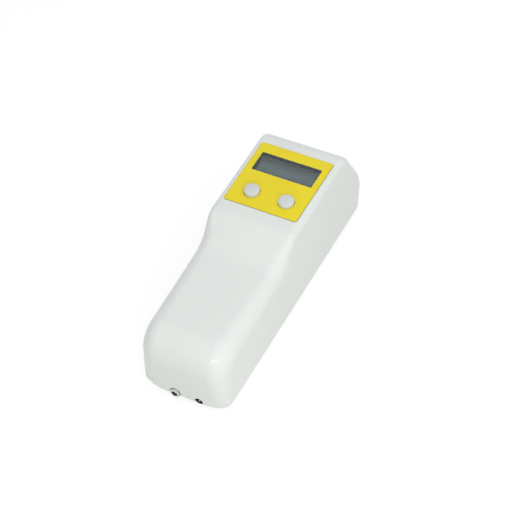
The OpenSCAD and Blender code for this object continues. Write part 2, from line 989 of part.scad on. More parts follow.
// insulating body of the data jack, with the sleeve that lines its bush
module jack_body() {
  color(black) placed() difference() {
    union() {
      block(jack_x, pad_y + jack_l / 2, jack_w, jack_l, socket_z - socket_h / 2, socket_z + socket_h / 2);
      bar(jack_x, socket_z, bush_bore - 2 * thread_play, sleeve_y, pad_y + eps);
    }
    bar(jack_x, socket_z, jack_bore, -far, jack_end - jack_floor);
  }
}

module jack_bush() {
  color(metal) placed() difference() {
    bar(jack_x, socket_z, bush_d, bush_y, pad_y);
    bar(jack_x, socket_z, bush_bore, -far, far);
  }
}

// slotted ring nut that clamps the data jack in the end wall
module jack_nut() {
  color(metal) placed() difference() {
    bar(jack_x, socket_z, nut_d, nut_y, spot_y);
    bar(jack_x, socket_z, bush_d + 2 * thread_play, -far, far);
    block(jack_x, nut_y, 2 * nut_d, 2 * nut_slot_h, socket_z - nut_slot_w / 2, socket_z + nut_slot_w / 2);
  }
}

// solder lug behind a socket
module lug(x, start) {
  block(x, start + lug_l / 2, lug_w, lug_l, socket_z - lug_t / 2, socket_z + lug_t / 2);
}

module jack_lugs() {
  color(metal) placed() {
    for (k = [-1:1]) {
      lug(jack_x + k * jack_lug_pitch, jack_end);
    }
  }
}

// body of the charging socket behind the end wall, with the sleeve that lines its opening
module charge_body() {
  color(black) placed() difference() {
    union() {
      block(charge_x, pad_y + charge_l / 2, charge_w, charge_l, socket_z - socket_h / 2,
        socket_z + socket_h / 2);
      bar(charge_x, socket_z, charge_d - 2 * thread_play, charge_lip_y, pad_y + eps);
    }
    bar(charge_x, socket_z, charge_bore, -far, charge_end - charge_floor);
    bar(charge_x, socket_z, pin_d + 2 * thread_play, -far, charge_end - pin_floor);
  }
}

module charge_pin() {
  color(metal) placed() {
    bar(charge_x, socket_z, pin_d, pin_y + pin_d / 2, charge_end - pin_floor);
    translate([charge_x, pin_y + pin_d / 2, socket_z]) sphere(d = pin_d);
  }
}

module charge_lugs() {
  color(metal) placed() {
    for (x = [-charge_lug_x, charge_lug_x]) {
      lug(charge_x + x, charge_end);
    }
  }
}

// smooth course through the given points
function course_point(p, i, t) =
  let (last = len(p) - 1)
  let (a = p[max(i - 1, 0)])
  let (b = p[i])
  let (c = p[min(i + 1, last)])
  let (d = p[min(i + 2, last)])
  b + (c - a) * t / 2 + (a - 2.5 * b + 2 * c - d / 2) * t ^ 2 + (1.5 * b - 1.5 * c + d / 2 - a / 2) * t ^ 3;

function course(p) = [
  each [for (i = [0:len(p) - 2]) each [for (k = [0:lead_steps - 1]) course_point(p, i, k / lead_steps)]],
  p[len(p) - 1]];

// round lead along a smooth course; it never runs straight across the case
module lead(stops) {
  path = course(stops);
  last = len(path) - 1;
  first_way = unit(stops[1] - stops[0]);
  last_way = unit(stops[len(stops) - 1] - stops[len(stops) - 2]);
  points = [for (i = [0:last])
    let (t = i == 0 ? first_way : i == last ? last_way : unit(path[i + 1] - path[i - 1]))
    let (u = unit(cross(t, [1, 0, 0])))
    let (v = cross(t, u))
    each [for (k = [0:lead_sides - 1])
      let (a = 360 * k / lead_sides)
      path[i] + lead_d / 2 * (u * cos(a) + v * sin(a))]];
  sides = [for (i = [0:last - 1])
    each [for (k = [0:lead_sides - 1])
      let (m = (k + 1) % lead_sides)
      let (a = i * lead_sides)
      let (b = a + lead_sides)
      each [[a + k, b + k, b + m], [a + k, b + m, a + m]]]];
  start = [for (k = [0:lead_sides - 1]) k];
  end = [for (k = [lead_sides - 1:-1:0]) last * lead_sides + k];
  polyhedron(points, concat(sides, [start, end]));
}

// last stops of a lead, coming up under a plug header
function plug_in(x) = [
  [x, plug_y - lead_bend, plug_z - lead_drop],
  [x, plug_y, plug_z - lead_out],
  [x, plug_y, plug_z]];

// from the end cells of the pack up to the main board
module battery_leads() {
  y = cell_end + link_t;
  rise = plug_z - cell_z;
  run = plug_y - y;
  color(black) placed() {
    for (s = [-1, 1]) {
      x = s * 1.5 * cell_pitch;
      lead(concat([[x, y, cell_z], [x, y + lead_out, cell_z], [x, y + run * 0.2, cell_z + rise * 0.21],
        [x, y + run * 0.44, cell_z + rise * 0.64]], plug_in(s * (plug_x[3] + lead_side))));
    }
  }
}

// from one socket over the battery to the main board; bow is its side step on the way
module socket_lead(x, start, bow, plug) {
  over = clamp_z + clamp_t + lead_bend;
  lead(concat([[x, start, socket_z], [x, start + lead_out, socket_z],
    [x + bow / 2, start + lead_bend, socket_z + lead_drop], [x + bow, cell_y, over],
    [x + bow, clamp_mid, over], [x + bow, cell_end + lead_bend, over + lead_out]], plug_in(plug)));
}

module charge_lead() {
  color(black) placed() socket_lead(charge_x, charge_end + lug_l, lead_side, plug_x[3] - lead_side);
}

module data_lead() {
  color(black) placed() socket_lead(jack_x, jack_end + lug_l, -lead_side, plug_x[1]);
}

// from the winding to the reader board
module coil_lead() {
  y = coil_y - core_r - winding_t;
  z = coil_z + coil_h / 2;
  color(copper) placed() lead([[0, y, z], [0, y - lead_out, z], [0, (y + coil_header_y) / 2, z + lead_bend],
    [0, coil_header_y, reader_header_z + lead_out], [0, coil_header_y, reader_header_z]]);
}

// from the reader board up to the main board
module link_lead() {
  rise = plug_z - reader_header_z;
  run = plug_y - link_header_y;
  color(black) placed() lead(concat([[0, link_header_y, reader_header_z],
    [0, link_header_y, reader_header_z + lead_out], [plug_x[2] / 3, link_header_y + run * 0.2,
    reader_header_z + rise * 0.4]], plug_in(plug_x[2])));
}

upper_shell();
lower_shell();
panel_overlay();
display_window();
lcd_glass();
lcd_holder();
contact_strips();
left_button();
right_button();
left_plunger();
right_plunger();
left_switch();
right_switch();
main_board();
processor_chip();
driver_chips();
crystal_can();
sounder();
board_headers();
board_screws();
case_screws();
coil_former();
reader_coil();
coil_screws();
reader_board();
reader_chips();
reader_headers();
reader_screws();
battery_cells();
cell_links();
battery_pad();
battery_clamp();
clamp_screws();
jack_body();
jack_bush();
jack_nut();
jack_lugs();
charge_body();
charge_pin();
charge_lugs();
battery_leads();
charge_lead();
data_lead();
coil_lead();
link_lead();
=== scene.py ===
# %% [markdown]
# # A handheld microchip scanner, dressed for its photograph
# The scanner is a two-part case of glossy off-white plastic. Its head carries a yellow panel with a
# display window and two push buttons, and two sockets sit in the end of its handle.
# The solids come from the CAD model and are loaded as a fixed frame. This lesson gives them their
# looks: clean edges, smooth curves, and a finish for every material.

# %% Load the frame
import json
import math

import bmesh
import bpy
from mathutils import Matrix, Vector
from mathutils.geometry import convex_hull_2d


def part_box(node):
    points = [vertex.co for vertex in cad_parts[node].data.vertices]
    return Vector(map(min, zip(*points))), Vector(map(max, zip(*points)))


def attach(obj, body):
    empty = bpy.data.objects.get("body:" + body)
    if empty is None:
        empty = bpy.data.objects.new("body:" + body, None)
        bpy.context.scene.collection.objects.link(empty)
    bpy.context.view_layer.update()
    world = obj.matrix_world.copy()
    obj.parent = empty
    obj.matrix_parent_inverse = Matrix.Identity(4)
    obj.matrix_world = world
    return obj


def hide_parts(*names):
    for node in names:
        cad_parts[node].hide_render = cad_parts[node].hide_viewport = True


MM = 0.001
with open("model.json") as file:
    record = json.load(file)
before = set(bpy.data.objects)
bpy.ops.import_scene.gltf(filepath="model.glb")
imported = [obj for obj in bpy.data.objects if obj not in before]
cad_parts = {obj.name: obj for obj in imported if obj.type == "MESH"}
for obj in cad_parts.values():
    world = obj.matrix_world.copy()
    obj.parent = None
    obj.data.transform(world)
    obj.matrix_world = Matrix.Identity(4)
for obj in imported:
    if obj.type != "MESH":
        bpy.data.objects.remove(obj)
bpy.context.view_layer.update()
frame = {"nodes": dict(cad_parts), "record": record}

# %% [markdown]
# ## The camera
# The photograph looks down on the socket end from the right, through a long lens, with the picture
# tilted a little. The camera could be turned by Euler angles, but three axes are easier to check:
# one points back from the object, one right and one up, and the tilt turns the last two.
# The focal length and the shift are in pixels of a square picture, so they are scaled to the sensor.

# %% Camera
PICTURE_PIXELS = 512
SENSOR_WIDTH = 36.0
focal_pixels = 1640.08
shift_pixels = (2.95, 11.36)
distance = 1243.7 * MM
target = Vector((0, 0.6 * MM, 30 * MM))
azimuth, elevation, tilt = (math.radians(angle) for angle in (33.67, 49.30, -7.55))

back = Vector((math.sin(azimuth) * math.cos(elevation),
               -math.cos(azimuth) * math.cos(elevation),
               math.sin(elevation)))
level = Vector((math.cos(azimuth), math.sin(azimuth), 0))
upward = back.cross(level)
right = math.cos(tilt) * level + math.sin(tilt) * upward
top = math.cos(tilt) * upward - math.sin(tilt) * level

lens = bpy.data.cameras.new("camera")
lens.sensor_width = SENSOR_WIDTH
lens.lens = focal_pixels * SENSOR_WIDTH / PICTURE_PIXELS
lens.shift_x, lens.shift_y = (shift / PICTURE_PIXELS for shift in shift_pixels)
lens.clip_start, lens.clip_end = 0.05, 20
camera = bpy.data.objects.new("camera", lens)
camera.matrix_world = Matrix((right, top, back)).transposed().to_4x4()
camera.location = target + distance * back
bpy.context.scene.collection.objects.link(camera)
bpy.context.scene.camera = camera
bpy.context.scene.view_settings.view_transform = "Standard"
print("lens:", round(lens.lens, 1), "mm")

# %% [markdown]
# ## Wires
# A finish is a material whose colour, gloss and fine relief come from formulas, so it needs no
# picture. Each formula is a net of nodes, which is long to write link by link. So a `Wire` stands for
# the output of a node and can be added, multiplied and compared like a number: every sign in an
# expression adds one Math node.

# %% Wires
class Wire:
    """The output of a node, which takes part in arithmetic."""

    def __init__(self, finish, socket):
        self.finish = finish
        self.socket = socket

    def math(self, operation, first, second=0.0):
        return self.finish.add("ShaderNodeMath", {"operation": operation}, {0: first, 1: second})

    def __add__(self, other):
        return self.math("ADD", self, other)

    def __radd__(self, other):
        return self.math("ADD", other, self)

    def __sub__(self, other):
        return self.math("SUBTRACT", self, other)

    def __rsub__(self, other):
        return self.math("SUBTRACT", other, self)

    def __mul__(self, other):
        return self.math("MULTIPLY", self, other)

    def __rmul__(self, other):
        return self.math("MULTIPLY", other, self)

    def __truediv__(self, other):
        return self.math("DIVIDE", self, other)

    def __abs__(self):
        return self.math("ABSOLUTE", self)

    def fraction(self):
        return self.math("FRACT", self)

    def most(self, other):
        return self.math("MAXIMUM", self, other)

    def least(self, other):
        return self.math("MINIMUM", self, other)

    def step(self, low, high):
        """0 below low, 1 above high, and a soft rise between them."""
        return self.finish.add("ShaderNodeMapRange", {"interpolation_type": "SMOOTHSTEP"},
                               {"Value": self, "From Min": low, "From Max": high})


print("a wire can:", ", ".join(name.strip("_") for name, item in vars(Wire).items() if callable(item)))

# %% [markdown]
# ## Finishes
# A `Finish` is a material, or the world. Its one method `add` makes a node, sets it up, and connects
# it. The other methods are short names for the nodes that come up again and again: the place of a
# point on its piece, noise, a mix of two colours, a relief, and the main shader.

# %% Finishes
class Finish:
    """A material, or the world, built from nodes."""

    def __init__(self, owner):
        self.owner = owner
        owner.use_nodes = True
        self.tree = owner.node_tree
        self.tree.nodes.clear()

    @classmethod
    def named(cls, name):
        """A new material, with the place of each point of a piece at hand."""
        finish = cls(bpy.data.materials.new(name))
        finish.place = finish.add("ShaderNodeTexCoord", out="Object")
        return finish

    def add(self, kind, settings=None, sockets=None, out=0):
        """A new node: its settings come first, then the values or wires of its sockets."""
        node = self.tree.nodes.new(kind)
        for name, value in (settings or {}).items():
            setattr(node, name, value)
        for name, value in (sockets or {}).items():
            if isinstance(value, Wire):
                self.tree.links.new(value.socket, node.inputs[name])
            else:
                node.inputs[name].default_value = value
        return Wire(self, node.outputs[out]) if node.outputs else node

    def axes(self):
        """The x, y and z of a point of the piece, in metres."""
        return [self.add("ShaderNodeSeparateXYZ", None, {0: self.place}, axis) for axis in range(3)]

    def stretched(self, x, y, z):
        """The place of a point, scaled on each axis: a small number makes long marks."""
        return self.add("ShaderNodeMapping", None, {"Vector": self.place, "Scale": (x, y, z)})

    def noise(self, size, detail=2.0, place=None):
        """Cloudy noise from 0 to 1 with patches of about that size, in metres."""
        return self.add("ShaderNodeTexNoise", None,
                        {"Vector": place or self.place, "Scale": 1 / size, "Detail": detail})

    def mix(self, share, first, second):
        return self.add("ShaderNodeMix", {"data_type": "RGBA"}, {0: share, 6: first, 7: second}, 2)

    def bump(self, height, depth):
        """A relief of that depth, in metres, where the height goes from 0 to 1."""
        return self.add("ShaderNodeBump", None, {"Strength": 1.0, "Distance": depth, "Height": height})

    def shader(self, **sockets):
        named = {name.replace("_", " "): value for name, value in sockets.items()}
        return self.add("ShaderNodeBsdfPrincipled", None, named)

    def shown(self):
        """1 where a surface is seen, also in a gloss or through clear plastic; 0 where it only lights."""
        seen, mirrored, through = (self.add("ShaderNodeLightPath", out=f"Is {ray} Ray")
                                   for ray in ("Camera", "Glossy", "Transmission"))
        return seen.most(mirrored).most(through)

    def done(self, shader, kind="ShaderNodeOutputMaterial"):
        self.add(kind, None, {"Surface": shader})
        print("finish:", self.owner.name, len(self.tree.nodes), "nodes")
        return self.owner


def srgb(red, green, blue):
    """A colour as a picture editor shows it, from 0 to 255, as Blender's linear colour."""
    def linear(value):
        value /= 255
        return value / 12.92 if value <= 0.04045 else ((value + 0.055) / 1.055) ** 2.4
    return (linear(red), linear(green), linear(blue), 1.0)


print("a middle grey of 128 as linear colour:", round(srgb(128, 128, 128)[0], 3))

# %% [markdown]
# ## The floor
# The photograph has a plain white ground. A white plane would only look white under more light than
# the object should get. So the floor shows white mostly by a glow of its own, which only rays that
# look at it can see. The rest of it is a faint surface that keeps the shadow of the object. All other
# rays meet a plain pale surface, which throws its natural share of light back at the case.

# %% Floor
WHITE = (1, 1, 1, 1)
FLOOR_TONE = (0.60, 0.60, 0.55, 1)
FAINT_TONE = (0.3, 0.3, 0.3, 1)
FLOOR_GLOW = 0.76
FLOOR_HALF = 4
FLOOR_DROP = 0.2 * MM


def floor_finish():
    f = Finish.named("pale_floor")
    plain = f.add("ShaderNodeBsdfDiffuse", None, {"Color": FLOOR_TONE})
    faint = f.add("ShaderNodeBsdfDiffuse", None, {"Color": FAINT_TONE})
    glow = f.add("ShaderNodeEmission", None, {"Color": WHITE, "Strength": FLOOR_GLOW})
    white = f.add("ShaderNodeAddShader", None, {0: faint, 1: glow})
    return f.done(f.add("ShaderNodeMixShader", None, {0: f.shown(), 1: plain, 2: white}))


floor_mesh = bpy.data.meshes.new("floor")
bm = bmesh.new()
bmesh.ops.create_grid(bm, x_segments=1, y_segments=1, size=FLOOR_HALF)
bmesh.ops.translate(bm, verts=bm.verts, vec=(0, 0, -FLOOR_DROP))
bm.to_mesh(floor_mesh)
bm.free()
floor = bpy.data.objects.new("floor", floor_mesh)
floor.data.materials.append(floor_finish())
bpy.context.scene.collection.objects.link(floor)
print("floor:", 2 * FLOOR_HALF, "m wide")

# %% [markdown]
# ## The light
# The photograph has even light from all sides, with more from the right and from above. The world is
# white to the eye, but it lights the object with less than its full strength, which leaves room for
# lamps. One lamp alone gives either a dark end face or a flat top, so there are two broad boxes: a low
# one on the right and one above. They are hidden from gloss, where they would show as large white
# patches. A narrow strip in front isn't hidden, and makes the small highlight on the near corner.

# %% Light
WORLD_LIGHT = 0.69


def sky_finish():
    f = Finish(bpy.data.worlds.new("studio"))
    strength = WORLD_LIGHT + (1 - WORLD_LIGHT) * f.shown()
    sky = f.add("ShaderNodeBackground", None, {"Color": WHITE, "Strength": strength})
    return f.done(sky, "ShaderNodeOutputWorld")


def softbox(name, towards, away, width, height, power):
    """A lamp of that width and height that shines on the object from that direction."""
    lamp = bpy.data.lights.new(name, "AREA")
    lamp.shape = "RECTANGLE"
    lamp.size, lamp.size_y = width, height
    lamp.energy = power
    box = bpy.data.objects.new(name, lamp)
    direction = Vector(towards).normalized()
    box.location = target + away * direction
    box.rotation_euler = (-direction).to_track_quat("-Z", "Y").to_euler()
    box.visible_transmission = False
    bpy.context.scene.collection.objects.link(box)
    print("lamp:", name, power, "W")
    return box


bpy.context.scene.world = sky_finish()
right_box = softbox("right_box", (0.669, -0.669, 0.326), away=0.55, width=0.5, height=0.42, power=0.76)
top_box = softbox("top_box", (0.397, 0.145, 0.906), away=0.55, width=0.5, height=0.5, power=0.58)
right_box.visible_glossy = top_box.visible_glossy = False
softbox("front_strip", (0.37, -0.725, 0.58), away=0.85, width=0.6, height=0.05, power=0.87)

# %% [markdown]
# ## Case plastic
# The case is glossy moulded plastic, a white with a breath of green and grey. Up close such plastic
# isn't flat: it has a soft orange-peel relief, gloss that handling has dulled in patches, and fine
# scuffs low down, where it is slid over a table. A painted picture could show these, but noise at
# several sizes does it on any shape, and stretched noise gives the scuffs their direction.
# The buttons are moulded from the same plastic in a greyer tone.

# %% Case plastic
SCUFF_TOP = 6 * MM
SCUFF_TONE = srgb(170, 170, 162)


def case_finish(name, pale, deep, dull):
    f = Finish.named(name)
    tone = f.noise(50 * MM, detail=3.0)
    colour = f.mix(tone.step(0.3, 0.7), pale, deep)
    low = 1 - f.axes()[2].step(0.0, SCUFF_TOP)
    lengthwise = f.noise(1.2 * MM, 3.0, f.stretched(1, 0.08, 1)).step(0.58, 0.68)
    crosswise = f.noise(1.5 * MM, 3.0, f.stretched(0.1, 1, 1)).step(0.6, 0.7)
    worn = f.noise(20 * MM).step(0.35, 0.65)
    scuff = low * worn * lengthwise.most(crosswise)
    colour = f.mix(0.25 * scuff, colour, SCUFF_TONE)
    handled = f.noise(18 * MM, detail=4.0).step(0.35, 0.75)
    rough = dull + 0.06 * handled + 0.2 * scuff
    peel = f.noise(1.6 * MM) + 0.35 * f.noise(0.4 * MM, detail=1.0)
    relief = f.bump(peel, depth=0.003 * MM)
    return f.done(f.shader(Base_Color=colour, Roughness=rough, Normal=relief))


finishes = {}
finishes["case_plastic"] = case_finish("case_plastic", pale=srgb(224, 229, 226),
                                       deep=srgb(222, 227, 224), dull=0.16)
finishes["button_plastic"] = case_finish("button_plastic", pale=srgb(207, 212, 210),
                                         deep=srgb(203, 208, 206), dull=0.2)

# %% [markdown]
# ## The yellow panel
# The panel is a thin plate of laminated plastic: a yellow face over a dark core. The core shows as a fine
# dark line on the cut edge of the outline, and only there, so that it also stands in as painted shadow of
# the gap round the panel. The face is satin, with a very fine grain, and its colour is a little deeper
# along the edge: wear where fingers rub, together with painted shade of that gap. Separate pieces for
# face and core would meet in one flat joint that nobody sees. So the height of a point tells the face
# from the core, and its distance to the outline gives the darker edge.

# %% Panel film
FACE_LAYER = 0.1 * MM
CORE_BLEND = 0.06 * MM


def inside(f, low, high):
    """How far a point lies inside the upright sides of a box, in metres."""
    x, y, _ = f.axes()
    middle = (low + high) / 2
    half = (high - low) / 2
    return (half.x - abs(x - middle.x)).least(half.y - abs(y - middle.y))


def panel_finish():
    f = Finish.named("panel_film")
    low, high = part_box("panel_overlay")
    face_bottom = high.z - FACE_LAYER
    grain = f.noise(0.35 * MM)
    cloud = f.noise(14 * MM, detail=3.0)
    face = f.mix(cloud.step(0.3, 0.7), srgb(236, 217, 8), srgb(231, 212, 12))
    face = f.mix(0.3 * grain.step(0.45, 0.7), face, srgb(221, 199, 10))
    margin = inside(f, low, high)
    # painted shade of the gap round the panel, with wear where fingers rub: the face is darker near the
    # outline
    edge_wear_and_shade = 1 - margin.step(0.2 * MM, 0.9 * MM)
    face = f.mix(0.4 * edge_wear_and_shade, face, srgb(200, 176, 20))
    # the dark core shows only at the outline, where it also stands in as painted shadow of the gap round
    # the panel
    below_face = 1 - f.axes()[2].step(face_bottom - CORE_BLEND, face_bottom)
    core_and_gap_shade = below_face * (1 - margin.step(0.3 * MM, 0.8 * MM))
    colour = f.mix(core_and_gap_shade, face, srgb(52, 47, 30))
    rough = 0.36 + 0.1 * cloud + 0.25 * core_and_gap_shade
    relief = f.bump(grain, depth=0.006 * MM)
    return f.done(f.shader(Base_Color=colour, Roughness=rough, Normal=relief))


finishes["panel_film"] = panel_finish()

# %% [markdown]
# ## The clear pane
# A clear polished pane stands in the window. It could be a thin glossy film over the display, but the
# depth of the window would then be lost. So it is made as real clear plastic that bends light, with
# a few smears. Shadow rays and scattered rays pass straight through, because a clear pane hardly
# takes any light away, and bent light on the display would only turn into grain.

# %% Clear pane
ACRYLIC_IOR = 1.49
PASSING_TINT = (0.92, 0.94, 0.94, 1)


def pane_finish():
    f = Finish.named("clear_pane")
    smear = f.noise(7 * MM, 4.0, f.stretched(1, 0.4, 1)).step(0.45, 0.8)
    tint = f.mix(smear, (0.97, 0.985, 0.985, 1), (0.93, 0.95, 0.95, 1))
    clear = f.shader(Base_Color=tint, Roughness=0.02 + 0.06 * smear, IOR=ACRYLIC_IOR,
                     Transmission_Weight=1.0)
    shadow = f.add("ShaderNodeLightPath", out="Is Shadow Ray")
    scattered = f.add("ShaderNodeLightPath", out="Is Diffuse Ray")
    passing = f.add("ShaderNodeBsdfTransparent", None, {"Color": PASSING_TINT})
    return f.done(f.add("ShaderNodeMixShader", None, {0: shadow.most(scattered), 1: clear, 2: passing}))


finishes["clear_pane"] = pane_finish()

# %% [markdown]
# ## The display glass
# The display lies dark below the pane. Switched off, it is a grey green with the fine streaks of its
# polarising film, and it is darker outside its active field. Towards the far edge a darker colour is
# mixed in by the place on the glass: painted shade, where the far walls of the window shade the display.
# A picture of the display would do the same, but could not be set to another size of glass.

# %% Display glass
FIELD_MARGIN = Vector((4.0, 6.0, 0)) * MM
FIELD_BLEND = 0.3 * MM


def display_finish():
    f = Finish.named("display_glass")
    low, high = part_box("lcd_glass")
    field = inside(f, low + FIELD_MARGIN, high - FIELD_MARGIN).step(-FIELD_BLEND, FIELD_BLEND)
    streak = f.noise(0.5 * MM, 2.0, f.stretched(1, 0.04, 1))
    cloud = f.noise(12 * MM)
    tone = f.mix(streak.step(0.3, 0.7), srgb(86, 105, 109), srgb(80, 99, 104))
    tone = f.mix(0.4 * cloud, tone, srgb(74, 93, 99))
    # painted shade: the glass gets darker towards its far edge, which the far wall of the window shades
    far_shade = f.axes()[1].step((low.y + high.y) / 2 - 3 * MM, high.y - 5 * MM)
    tone = f.mix(far_shade, tone, srgb(42, 56, 62))
    colour = f.mix(field, srgb(38, 50, 56), tone)
    relief = f.bump(streak, depth=0.001 * MM)
    return f.done(f.shader(Base_Color=colour, Roughness=0.4 + 0.1 * cloud, Specular_IOR_Level=0.1,
                           Normal=relief))


finishes["display_glass"] = display_finish()

# %% [markdown]
# ## Metals
# The ring nut, the bush and the pin are nickel plated, the screws are zinc plated, and the switches
# and the crystal sit in drawn steel cans. All are bright metal. What tells them apart is their tint
# and how their fine marks run: turned parts are marked round their axis, drawn cans up and down.
# Inside a socket the plating is dull, and its colour is darkened from where the socket opens, as painted
# shade of the deep hole.

# %% Metals
# colour of the painted shade inside the socket
SOCKET_SHADE_TONE = srgb(112, 111, 108)
SOCKET_SHADE_BLEND = 0.3 * MM
NO_SOCKET_SHADE = 1.0


def metal_finish(name, bright, dull, rough, marks, shaded_from=NO_SOCKET_SHADE):
    f = Finish.named(name)
    line = f.noise(0.4 * MM, 3.0, f.stretched(*marks))
    haze = f.noise(2.5 * MM, detail=3.0).step(0.4, 0.75)
    # painted shade in the socket, with real dulling of the gloss: darker colour and rougher metal beyond
    # its mouth
    shade_and_dulling = f.axes()[1].step(shaded_from, shaded_from + SOCKET_SHADE_BLEND)
    colour = f.mix(0.6 * haze, bright, dull)
    colour = f.mix(0.7 * shade_and_dulling, colour, SOCKET_SHADE_TONE)
    gloss = rough + 0.12 * line + 0.1 * haze + 0.12 * shade_and_dulling
    relief = f.bump(line, depth=0.003 * MM)
    return f.done(f.shader(Base_Color=colour, Metallic=1.0, Roughness=gloss, Normal=relief))


# the painted socket shade starts just in front of the tip of the pin
socket_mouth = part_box("charge_pin")[0].y - 0.35 * MM
finishes["plated_metal"] = metal_finish("plated_metal", srgb(220, 222, 222), srgb(192, 194, 196),
                                        rough=0.16, marks=(0.3, 4, 0.3), shaded_from=socket_mouth)
finishes["screw_steel"] = metal_finish("screw_steel", srgb(206, 207, 208), srgb(168, 170, 172),
                                       rough=0.28, marks=(1, 1, 4))
finishes["switch_steel"] = metal_finish("switch_steel", srgb(204, 206, 210), srgb(176, 178, 182),
                                        rough=0.24, marks=(4, 4, 0.2))

# %% [markdown]
# ## Black and natural mouldings
# The small housings inside are black plastic with a fine spark-eroded grain, the plug headers are
# natural nylon, and the leads have a soft black sleeve. They share one recipe: a grain at one size,
# a slow change of tone, and a gloss that follows it.

# %% Mouldings
def moulded_finish(name, base, pale, rough, grain_size, depth):
    f = Finish.named(name)
    grain = f.noise(grain_size, detail=3.0)
    cloud = f.noise(12 * grain_size)
    colour = f.mix(0.5 * grain.step(0.4, 0.8) + 0.4 * cloud, base, pale)
    gloss = rough + 0.15 * cloud
    return f.done(f.shader(Base_Color=colour, Roughness=gloss, Normal=f.bump(grain, depth)))


finishes["black_plastic"] = moulded_finish("black_plastic", srgb(20, 20, 22), srgb(38, 38, 40),
                                           rough=0.42, grain_size=0.4 * MM, depth=0.01 * MM)
finishes["header_plastic"] = moulded_finish("header_plastic", srgb(226, 222, 208), srgb(236, 233, 222),
                                            rough=0.4, grain_size=0.6 * MM, depth=0.006 * MM)
finishes["lead_sleeve"] = moulded_finish("lead_sleeve", srgb(26, 26, 28), srgb(44, 44, 46),
                                         rough=0.5, grain_size=0.8 * MM, depth=0.008 * MM)

# %% [markdown]
# ## Boards
# A circuit board is glass fibre under green lacquer. Copper tracks under the lacquer show as paler
# lines in a regular pitch, and bare tinned pads as small bright dots. Modelled tracks would be
# thousands of faces inside a closed case, so they come from a repeating distance to lines, cut into
# runs by a blocky noise.

# %% Board laminate
TRACK_PITCH = 1.27 * MM


def board_finish():
    f = Finish.named("board_laminate")
    x, y, _ = f.axes()

    def near_line(value):
        return abs((value / TRACK_PITCH).fraction() - 0.5)

    from_x, from_y = near_line(x), near_line(y)
    run = f.noise(6 * MM, 0.0, f.stretched(1, 0.35, 1)).step(0.5, 0.52)
    across = f.noise(7 * MM, 0.0, f.stretched(0.35, 1, 1)).step(0.6, 0.62)
    track = ((1 - from_x.step(0.1, 0.16)) * run).most((1 - from_y.step(0.1, 0.16)) * across)
    spot = (from_x * from_x + from_y * from_y).step(0.03, 0.045)
    pad = (1 - spot) * f.noise(4.5 * MM, detail=0.0).step(0.62, 0.64)
    weave = f.noise(0.6 * MM)
    colour = f.mix(0.5 * weave, srgb(18, 74, 40), srgb(26, 88, 50))
    colour = f.mix(track, colour, srgb(48, 122, 72))
    colour = f.mix(pad, colour, srgb(206, 204, 196))
    relief = f.bump(0.6 * track + pad, depth=0.03 * MM)
    rough = 0.32 + 0.12 * weave
    return f.done(f.shader(Base_Color=colour, Metallic=0.9 * pad, Roughness=rough, Normal=relief))


finishes["board_laminate"] = board_finish()

# %% [markdown]
# ## Striped rubber
# The display touches its board through two rubber strips, in which thin conducting layers alternate
# with insulating ones. The layers are far too fine to model, so the fraction of a division by their
# pitch gives the stripes.

# %% Striped rubber
LAYER_PITCH = 0.2 * MM


def strip_finish():
    f = Finish.named("strip_rubber")
    x = f.axes()[0]
    layer = abs((x / LAYER_PITCH).fraction() - 0.5).step(0.2, 0.3)
    dust = f.noise(0.7 * MM, detail=3.0)
    colour = f.mix(layer, srgb(142, 144, 146), srgb(46, 46, 48))
    colour = f.mix(0.3 * dust, colour, srgb(120, 120, 120))
    relief = f.bump(layer, depth=0.004 * MM)
    return f.done(f.shader(Base_Color=colour, Roughness=0.55 + 0.2 * dust, Normal=relief))


finishes["strip_rubber"] = strip_finish()

# %% [markdown]
# ## Foam
# A pad of grey foam presses on the cells. Foam is a heap of small round cells, and a Voronoi pattern has
# just that look: its distance is small at the middle of a cell and grows towards the walls. The middle of
# each cell is coloured darker, as painted shade in its hollow.

# %% Foam
FOAM_CELLS_PER_METRE = 1600.0


def foam_finish():
    f = Finish.named("pad_foam")
    cell = f.add("ShaderNodeTexVoronoi", {"feature": "F1"},
                 {"Vector": f.place, "Scale": FOAM_CELLS_PER_METRE}, "Distance")
    cloud = f.noise(4 * MM, detail=3.0)
    # painted shade: dark at the middle of each cell, paler towards its walls
    colour = f.mix(cell.step(0.1, 0.6), srgb(52, 53, 56), srgb(96, 97, 100))
    colour = f.mix(0.4 * cloud, colour, srgb(78, 78, 80))
    relief = f.bump(cell, depth=0.2 * MM)
    return f.done(f.shader(Base_Color=colour, Roughness=0.85 + 0.1 * cloud, Normal=relief))


finishes["pad_foam"] = foam_finish()

# %% [markdown]
# ## Wire and cells
# The reader coil is wound from lacquered copper wire, a warm metal whose lacquer varies in depth. The
# cells wear a blue shrink sleeve with soft folds along their length, and the bare metal of their ends
# shows beyond it. The distance from the middle of the pack tells the ends from the sleeve.

# %% Wire and cell sleeves
SLEEVE_END = 0.85 * MM
SLEEVE_BLEND = 0.1 * MM


def wire_finish():
    f = Finish.named("coil_copper")
    lacquer = f.noise(3 * MM, detail=3.0)
    turn = f.noise(0.3 * MM, 2.0, f.stretched(0.2, 0.2, 3))
    colour = f.mix(lacquer.step(0.3, 0.7), srgb(196, 116, 66), srgb(168, 88, 44))
    colour = f.mix(0.4 * turn, colour, srgb(134, 66, 32))
    relief = f.bump(turn, depth=0.008 * MM)
    return f.done(f.shader(Base_Color=colour, Metallic=0.85, Roughness=0.24 + 0.14 * turn, Normal=relief))


